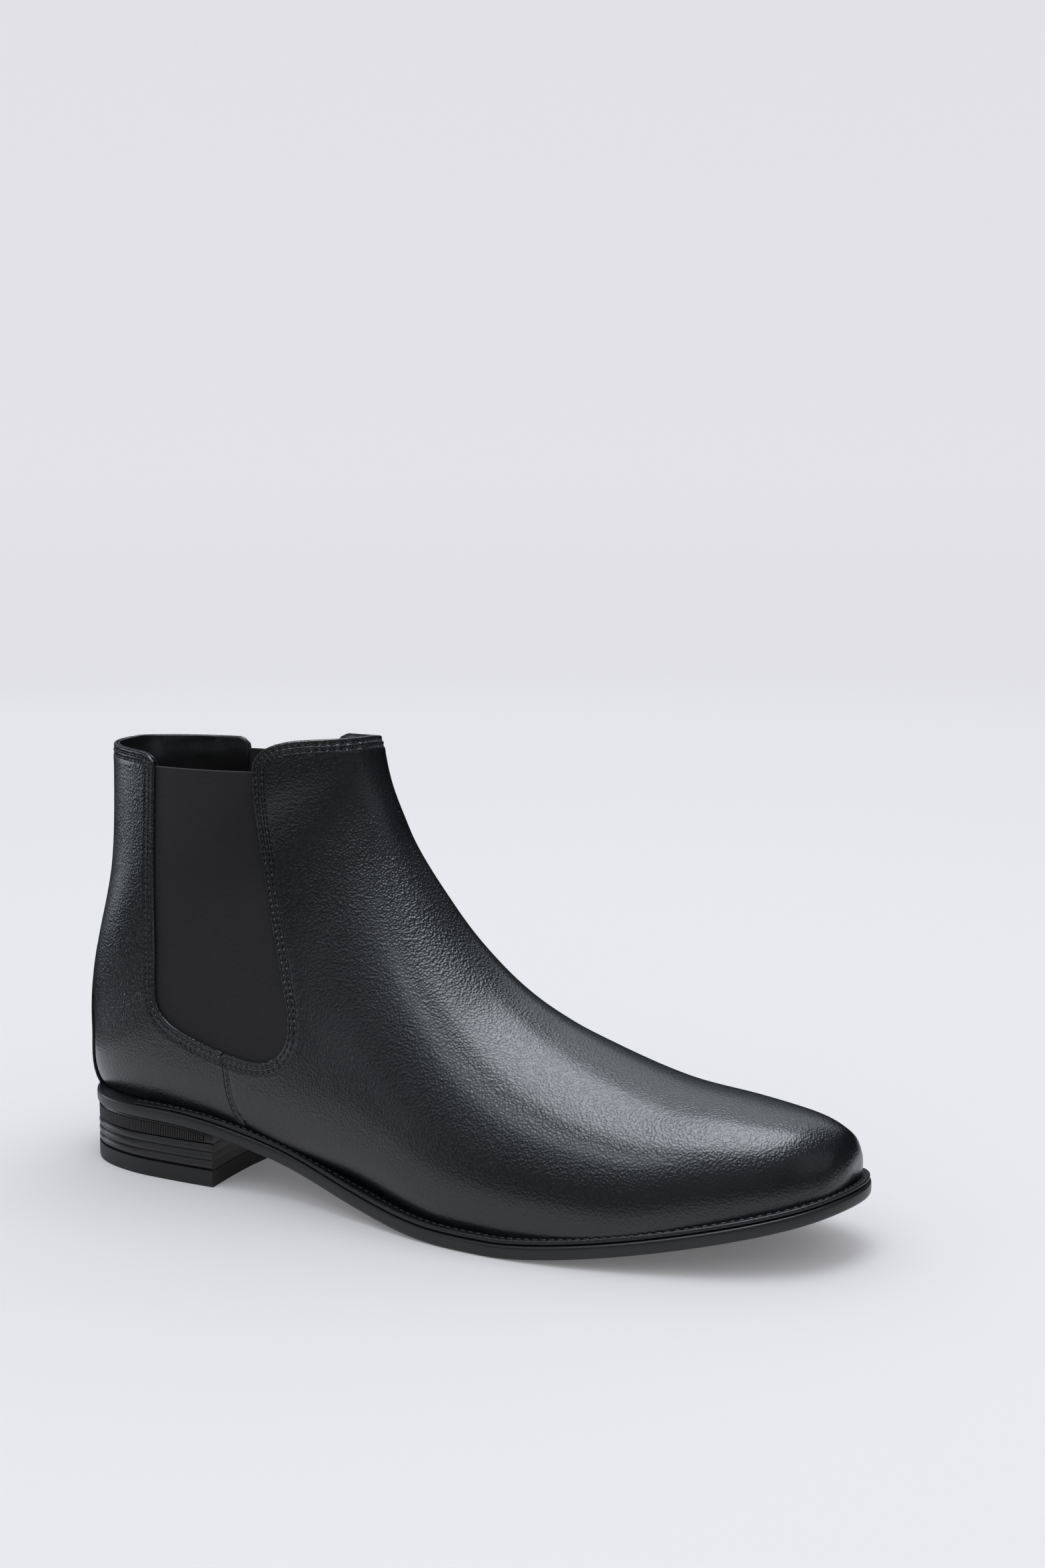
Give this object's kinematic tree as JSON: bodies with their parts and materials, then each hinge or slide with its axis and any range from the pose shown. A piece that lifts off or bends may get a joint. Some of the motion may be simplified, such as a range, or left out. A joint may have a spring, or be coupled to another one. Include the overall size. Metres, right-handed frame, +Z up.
{
  "type": "chelsea boot",
  "caption": "Ankle-high pull-on dress boot with elastic side gores, slim almond toe, thin sole and low stacked heel; sole bends at the ball and the collar leans back.",
  "frame": {"origin": "middle of the boot's footprint box, on the floor", "axes": "+X to the toe, +Y to the inner (medial) side of this right boot, +Z up"},
  "size_m": [0.3144, 0.1024, 0.1694],
  "materials": {
    "upper_leather": "satin grained black leather-look coated upper",
    "elastic": "matt ribbed elastic webbing",
    "lining": "smooth shiny synthetic lining",
    "insole_board": "matt fibre board",
    "filler": "matt cork filler",
    "stiffener": "matt thermoplastic felt",
    "welt": "matt rough black",
    "outsole": "satin black edge",
    "heel": "satin brown-black stacked look",
    "top_piece": "matt black",
    "steel": "satin"
  },
  "bodies": {
    "boot_rear": {"vamp_instep": "upper_leather", "vamp_flex": "upper_leather", "quarter_lateral": "upper_leather", "quarter_medial": "upper_leather", "backstay": "upper_leather", "gore_lateral": "elastic", "gore_medial": "elastic", "lining_heel": "lining", "lining_instep": "lining", "lining_flex": "lining", "sock_liner": "lining", "insole_board": "insole_board", "filler_waist": "filler", "heel_counter": "stiffener", "welt_lateral": "welt", "welt_medial": "welt", "outsole": "outsole", "heel_rand": "heel", "heel_block": "heel", "top_piece": "top_piece", "shank": "steel", "shank_rivet_1": "steel", "shank_rivet_2": "steel", "heel_nail_1": "steel", "heel_nail_2": "steel", "heel_nail_3": "steel", "heel_nail_4": "steel", "heel_nail_5": "steel"},
    "forefoot": {"vamp_toe": "upper_leather", "lining_toe": "lining", "toe_puff": "stiffener", "insole_board_toe": "insole_board", "sock_liner_toe": "lining", "filler_ball": "filler", "welt_toe": "welt", "outsole_toe": "outsole"},
    "rear_collar": {"collar_lateral": "upper_leather", "collar_medial": "upper_leather", "backstay_top": "upper_leather", "lining_collar": "lining"}
  },
  "joints": [
    {"name": "ball_flex", "type": "hinge", "parent": "boot_rear", "child": "forefoot", "pos_m": [0.05025, 0, 0.01186], "axis": [0, -1, 0], "range_deg": [0, 30], "stiffness_Nm_per_rad": 8, "deforming": ["vamp_flex", "lining_flex"]},
    {"name": "collar_lean", "type": "hinge", "parent": "boot_rear", "child": "rear_collar", "pos_m": [-0.15595, 0, 0.072], "axis": [0, -1, 0], "range_deg": [0, 12], "stiffness_Nm_per_rad": 3, "deforming": ["gore_lateral", "gore_medial"]}
  ]
}
